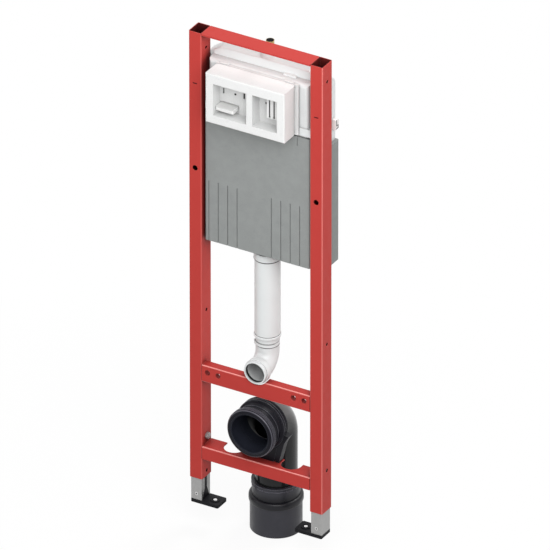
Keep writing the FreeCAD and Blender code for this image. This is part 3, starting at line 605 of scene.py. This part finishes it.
def side_end(node, side):
    """Where a node ends along X towards the left or the right."""
    return middle(node, "X") + OUTWARD[side] * width(node, "X") / 2


# Marks, rivets and welds

MARK_HEIGHT = 1000
MARK_WIDTH = 10
MARK_THICKNESS = 2.4
MARK_PROUD = 0.06
MARK_SUNK = 0.2
RIVET_HEIGHT = 21
WELD_RADIUS = 1.1
WELD_RIPPLE = 0.12
WELD_PITCH = 1.6


def metre_mark(side):
    """Painted line across the front of a post, one metre above the floor."""
    axis, front = POST_AXES[side], span(f"{side}_post", "Y")[0]
    half_width, half_thickness = MARK_WIDTH / 2, MARK_THICKNESS / 2
    block(f"{side}_metre_mark", (axis - half_width, front - MARK_PROUD, MARK_HEIGHT - half_thickness),
          (axis + half_width, front + MARK_SUNK, MARK_HEIGHT + half_thickness), "mark_paint")


def foot_rivet(side):
    """Rivet with a dark core, so flush with the foot's channel that the post slides over it."""
    centre = (POST_AXES[side], span(f"{side}_foot_channel", "Y")[0], RIVET_HEIGHT)
    head = [(0, -0.05), (1.5, -0.1), (1.9, -0.36), (3.1, -0.34), (3.7, -0.15), (3.8, 0.2), (0, 0.2)]
    core = [(0, -0.3), (1.3, -0.26), (1.7, -0.15), (1.7, 0.1), (0, 0.1)]
    turned(f"{side}_foot_rivet", centre, "Y", head, "rivet_steel", f"{side}_foot", count=32)
    turned(f"{side}_rivet_core", centre, "Y", core, "black_plastic", f"{side}_foot", count=24)


def weld(side, name, bar, level, front, back):
    """Rippled bead where a bar meets a post, at this height. It stops short of the bar's front and back."""
    low, high = span(bar, "Y")
    start = low + front
    length = high - back - start
    count = round(length / WELD_PITCH * 2)
    bead = [(WELD_RADIUS + WELD_RIPPLE * (-1) ** step, length * step / count) for step in range(count + 1)]
    turned(f"{side}_{name}", (side_end(bar, side), start, level), "Y",
           [(0, -WELD_RADIUS), *bead, (0, length + WELD_RADIUS)], "red_powder_coat", count=12)


def welds(side):
    """The welds of the top bar's underside and of the crossbars' upper edges."""
    weld(side, "top_weld", "top_bar", span("top_bar", "Z")[0], front=3, back=3)
    weld(side, "pan_bar_weld", "pan_bar", span("pan_bar", "Z")[1], front=5, back=2)
    weld(side, "drain_bar_weld", "drain_bar", span("drain_bar", "Z")[1], front=5, back=3)


# Cistern and service box

INLET = (MID, middle("inlet_nut", "Y"))
# Each rib's front, back, lower and upper end, from the lower front corner of its clip
CLIP_RIBS = ((2.5, 4.1, 9, 23), (4.1, 10.5, 9, 10.6), (8.9, 10.5, 4, 9), (0.9, 10.5, 2.4, 4))
CLIP_RIB_HEIGHT = 0.6
# Each slot's left, right, lower and upper end, from the middle of the service box
WINDOW_SLOTS = ((-68.4, -65.6, 1.5, 14.5), (-20.6, -16.6, 1.5, 14.5), (31.5, 34.5, 4, 9.5))
WINDOW_EYE = (-39.6, 6.7)
WINDOW_EYE_RADIUS = 2.5
# Front and back of what shows dark through the slots and the eye, from the back of the service box
WINDOW_DARK = (-16.6, -11)
VALVE_SLOT_PITCH = 10.7
VALVE_SLOT_WIDTH = 3
# How far behind the front and before the back of the valve block the dark in its slots lies
VALVE_DARK = (2.4, 4)


def clip_ribs(side):
    """Ribs on the outer face of a clip, sunk as deep as they are high, in a dark grey that paints its
    shading lines.
    """
    clip = f"{side}_tank_clip"
    face, front, foot = side_end(clip, side), span(clip, "Y")[0], span(clip, "Z")[0]
    for number, (near, far, low, high) in enumerate(CLIP_RIBS, 1):
        block(f"{side}_clip_rib_{number}", (face - CLIP_RIB_HEIGHT, front + near, foot + low),
              (face + CLIP_RIB_HEIGHT, front + far, foot + high), "painted_shadow_line", edge=0.3)


def inlet_details():
    """Moulded seat round the inlet's nut, and brass rim round its cap."""
    seat = [(22.5, -8), (22.5, -0.3), (19.5, 1.2), (17.6, 4), (16.8, 8), (15.5, 10.5), (13.5, 11.3),
            (9.3, 11.3), (9.3, 8.5), (14.3, 8.5), (14.3, -8)]
    rim = [(8.25, 0), (8.9, 0), (9, 0.4), (8.8, 1), (8.25, 1)]
    turned("inlet_seat", (*INLET, span("cistern_lid", "Z")[1]), "Z", seat, "lid_plastic")
    turned("inlet_rim", (*INLET, span("inlet_stub", "Z")[1]), "Z", rim, "turned_brass")


def window_backs():
    """Black pieces behind the slots and the eye of the windows: painted shade for the dark that shows
    through them.
    """
    height, back = middle("service_box", "Z"), span("service_box", "Y")[1]
    start, end = WINDOW_DARK
    for number, (left, right, low, high) in enumerate(WINDOW_SLOTS, 1):
        block(f"window_slot_back_{number}", (MID + left, back + start, height + low),
              (MID + right, back + end, height + high), "black_plastic")
    across, up = WINDOW_EYE
    turned("window_eye_back", (MID + across, back, height + up), "Y",
           band(0, WINDOW_EYE_RADIUS, start, end), "black_plastic", count=32)


def valve_slots():
    """Black pieces in the two slots of the valve block: painted shade for the dark that shows through them.
    """
    (front, back), (low, high) = span("valve_block", "Y"), span("valve_block", "Z")
    behind, before = VALVE_DARK
    half = VALVE_SLOT_WIDTH / 2
    for number, step in enumerate((-0.5, 0.5), 1):
        place = middle("valve_block", "X") + step * VALVE_SLOT_PITCH
        block(f"valve_slot_back_{number}", (place - half, front + behind, low + half),
              (place + half, back - before, high - half), "black_plastic")


# Flush line

FLUSH = (MID, middle("flush_pipe", "Y"))
FLUSH_BORE = 25.25
FLUSH_RADIUS = 27.25
FLUSH_BEAD = width("flush_pipe", "X") / 2
# The photograph shows the bead at the pipe's lower end so much lower than the frame has it
BEAD_DROP = 6.5
LINE_DEPTH = 1
# Each line's radius, lower and upper end, from the lower end of the frame's pipe
FLUSH_LINES = {
    "flush_pipe_line": (27.5, -1.3, -0.2),
    "flush_band_line": (25.2, -17.9, -17.2),
    "flush_turn_line": (25.2, -27.2, -25.9),
    "outlet_line": (29.2, 177.8, 178.6),
}


def flush_pipe():
    """The flush pipe with its bead where the photograph shows it."""
    low, high = span("flush_pipe", "Z")
    length = high - low + BEAD_DROP
    profile = [(FLUSH_BORE, 0), (FLUSH_BEAD, 0), (FLUSH_BEAD, 4), (FLUSH_RADIUS, 5.3),
               (FLUSH_RADIUS, length), (FLUSH_BORE, length)]
    pipe = turned("flush_pipe_tube", (*FLUSH, low - BEAD_DROP), "Z", profile, "pipe_plastic")
    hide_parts("flush_pipe")


def flush_lines():
    """Dark rings that paint the shadow lines where the pieces of the flush line meet."""
    foot = span("flush_pipe", "Z")[0]
    for name, (radius, start, end) in FLUSH_LINES.items():
        profile = band(radius - LINE_DEPTH, radius, start, end)
        turned(name, (*FLUSH, foot), "Z", profile, "painted_shadow_line")


# Drain. The connector's pieces are placed from the middle of its front face.

ADAPTER = (MID, middle("drain_adapter", "Y"))
SPIGOT_RADIUS = 55
SPIGOT_BORE = 52
SOCKET_BORE = 45.3
THROAT_BORE = 42.3
COLLAR_FOOT = 11.5
CONNECTOR = (MID, span("drain_connector", "Y")[0], DRAIN_HEIGHT)
CONNECTOR_RADIUS = width("drain_connector", "Z") / 2
RIM_RIBS = 5
RIM_RIB_START = 6
RIM_RIB_PITCH = 2.2
# Each line's radius and distance from the front face
CONNECTOR_LINES = {
    "drain_neck_line": (51.5, 31.5),
    "drain_ring_1_line": (CONNECTOR_RADIUS, 48.04),
    "drain_ring_2_line": (CONNECTOR_RADIUS, 54.21),
}
LINE_SUNK = 0.5
LINE_PROUD = 0.06
LINE_WIDTH = 0.7
WING_GAP = 0.5
WING_SHIFT = 0.5
WING_ANGLES = range(-10, -61, -5)


def drain_adapter():
    """The adapter with its collar where the photograph shows it, lower than the frame has it."""
    foot, top = span("drain_adapter", "Z")
    collar = [(SPIGOT_RADIUS, 0), (55.8, 0), (57, 0.7), (57.5, 2), (57.5, 10), (57, 12.3), (55.7, 14.2),
              (53.8, 15.5), (51.5, 16), (51, 16)]
    ridges = [(51, -9), (52, -8.7), (52, -7.3), (51, -7), (51, -2), (52, -1.7), (52, 0)]
    bore = [(SOCKET_BORE, 0), (SOCKET_BORE, -40), (THROAT_BORE, -40), (THROAT_BORE, -44),
            (SPIGOT_BORE, -53.7)]
    profile = [(SPIGOT_BORE, foot), (SPIGOT_RADIUS, foot)]
    profile += [(radius, COLLAR_FOOT + up) for radius, up in collar]
    profile += [(radius, top + up) for radius, up in ridges + bore]
    adapter = turned("drain_adapter_sleeve", (*ADAPTER, 0), "Z", profile, "charcoal_plastic")
    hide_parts("drain_adapter")


def lip_seal():
    """Lip seal in the mouth of the connector."""
    profile = [(45.2, 1.1), (44.2, 0.9), (43.3, 1.7), (43.1, 3.5), (43.8, 6.5), (44.4, 10.5), (43.6, 21.5),
               (42.2, 32), (41.9, 37.5), (41.9, 38.9), (42.2, 38.9), (42.2, 35.2), (45.1, 32.2)]
    turned("drain_lip_seal", CONNECTOR, "Y", profile, "lip_rubber")


def rim_ribs():
    """Fine ribs round the rim of the connector, in a lighter plastic that paints their highlights."""
    for number in range(RIM_RIBS):
        place = RIM_RIB_START + number * RIM_RIB_PITCH
        profile = [(54.8, place - 0.6), (55.35, place - 0.3), (55.35, place + 0.3), (54.8, place + 0.6)]
        turned(f"drain_rim_rib_{number + 1}", CONNECTOR, "Y", profile, "painted_highlight_plastic")


def throat():
    """Dark sleeve in the throat of the connector."""
    profile = band(inner=41.5, outer=41.95, start=39, end=63.5)
    turned("drain_throat", CONNECTOR, "Y", profile, "lip_rubber")


def painted_highlight_lines():
    """Painted highlights: a lighter front edge of the connector, and light lines on its neck and ring."""
    profile = [(53.7, 3.7), (54.2, 3.42), (53.5, 2.4), (52.6, 1.52), (52.2, 2)]
    turned("drain_rim_edge", CONNECTOR, "Y", profile, "painted_highlight_plastic")
    for name, (radius, place) in CONNECTOR_LINES.items():
        profile = band(radius - LINE_SUNK, radius + LINE_PROUD, place - LINE_PROUD, place + LINE_WIDTH)
        turned(name, CONNECTOR, "Y", profile, "painted_highlight_plastic")


def holder_wings():
    """Flanks of the saddle on each side, from the drain bar up along the connector's ring."""
    radius, bar_top = CONNECTOR_RADIUS + WING_GAP, span("drain_bar", "Z")[1]
    turns = [math.radians(angle) for angle in WING_ANGLES]
    arc = [(radius * math.cos(turn), DRAIN_HEIGHT + radius * math.sin(turn)) for turn in turns]
    flank = [(36, 0), (43.5, 0), (48, 18), (52, 34), (56, 49), (62, 60), (67, 68)]
    outline = arc + [(across, bar_top + up) for across, up in flank]
    start, end = (place + WING_SHIFT for place in span("drain_holder", "Y"))
    for side, outward in OUTWARD.items():
        extruded(f"drain_holder_{side}_wing", [(MID + outward * across, up) for across, up in outline],
                 start, end, "holder_plastic")


# Soles

PLUG_INSET = 35


def sole_plug(side):
    """White plug in the sole, inward from the foot's channel: painted light for the pale floor seen through
    its hole.
    """
    across = POST_AXES[side] - OUTWARD[side] * PLUG_INSET
    sole_top = span(f"{side}_foot_channel", "Z")[0]
    profile = [(0, 2.2), (2.6, 2), (4, 1.3), (4.3, 0), (0, 0)]
    turned(f"{side}_sole_plug", (across, 0, sole_top), "Z", profile, "white_plastic",
           f"{side}_foot", count=32)


materials = finishes()
paint()
for side in OUTWARD:
    metre_mark(side)
    foot_rivet(side)
    welds(side)
    clip_ribs(side)
inlet_details()
window_backs()
valve_slots()
flush_pipe()
flush_lines()
drain_adapter()
lip_seal()
rim_ribs()
throat()
painted_highlight_lines()
holder_wings()
for side in OUTWARD:
    sole_plug(side)
camera()
lamps()
surroundings()
floor()
bpy.context.scene.view_settings.view_transform = "Standard"
